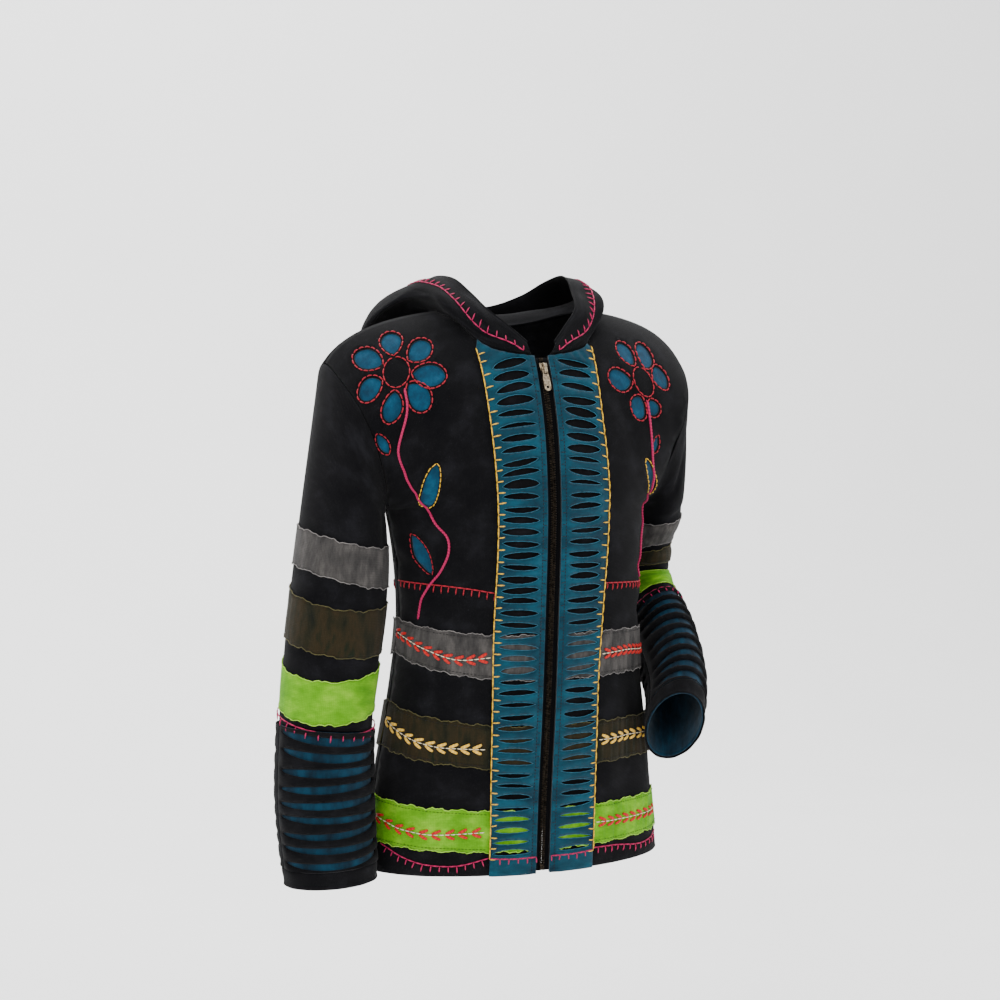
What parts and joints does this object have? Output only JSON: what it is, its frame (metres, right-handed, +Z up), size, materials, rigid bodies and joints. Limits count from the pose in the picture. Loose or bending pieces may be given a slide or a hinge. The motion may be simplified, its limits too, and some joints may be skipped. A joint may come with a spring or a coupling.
{
  "type": "hooded patchwork zip jacket",
  "caption": "Hooded cotton zip jacket with slashed plackets and cuffs, raw-edged patch bands and cut-through flowers, held in a worn pose.",
  "frame": {"origin": "between the shoulder seams at the neck, where a body or hanger holds the jacket", "axes": "+Z up, -Y to the wearer's front, +X to the wearer's left"},
  "size_m": [0.5126, 0.3271, 0.6605],
  "materials": {
    "black_cotton": "plain weave, matt",
    "teal_cotton": "plain weave, matt",
    "grey_cotton": "plain weave with raw edges",
    "olive_cotton": "mottled, raw edges",
    "lime_cotton": "mottled, raw edges",
    "zip_tape": "woven tape",
    "antique_brass": "dark antique"
  },
  "bodies": {
    "garment": {"back": "black_cotton", "band_grey_back": "grey_cotton", "band_grey_front_left": "grey_cotton", "band_grey_front_right": "grey_cotton", "band_grey_sleeve_left": "grey_cotton", "band_grey_sleeve_right": "grey_cotton", "band_lime_back": "lime_cotton", "band_lime_front_left": "lime_cotton", "band_lime_front_right": "lime_cotton", "band_lime_sleeve_left": "lime_cotton", "band_lime_sleeve_right": "lime_cotton", "band_olive_back": "olive_cotton", "band_olive_front_left": "olive_cotton", "band_olive_front_right": "olive_cotton", "band_olive_sleeve_left": "olive_cotton", "band_olive_sleeve_right": "olive_cotton", "cuff_hem_left": "black_cotton", "cuff_hem_right": "black_cotton", "cuff_slashed_back_left": "black_cotton", "cuff_slashed_back_right": "black_cotton", "cuff_slashed_front_left": "black_cotton", "cuff_slashed_front_right": "black_cotton", "cuff_under_left": "teal_cotton", "cuff_under_right": "teal_cotton", "flower_backing_left": "teal_cotton", "flower_backing_right": "teal_cotton", "front_left": "black_cotton", "front_right": "black_cotton", "hood_left": "black_cotton", "hood_right": "black_cotton", "leaf_backing_red_high_left": "teal_cotton", "leaf_backing_red_high_right": "teal_cotton", "leaf_backing_red_low_right": "teal_cotton", "leaf_backing_yellow_left": "teal_cotton", "leaf_backing_yellow_right": "teal_cotton", "placket_left": "teal_cotton", "placket_right": "teal_cotton", "sleeve_left": "black_cotton", "sleeve_right": "black_cotton", "zip_box": "antique_brass", "zip_chain": "antique_brass", "zip_slider": "antique_brass", "zip_stop_left": "antique_brass", "zip_stop_right": "antique_brass", "zip_tape_left": "zip_tape", "zip_tape_right": "zip_tape"},
    "pull": {"zip_pull": "antique_brass"}
  },
  "joints": [
    {"name": "zip_pull_hinge", "type": "hinge", "parent": "garment", "child": "pull", "pos_m": [0, -0.07019, -0.05341], "axis": [-1, 0, 0], "range_deg": [0, 150]}
  ]
}
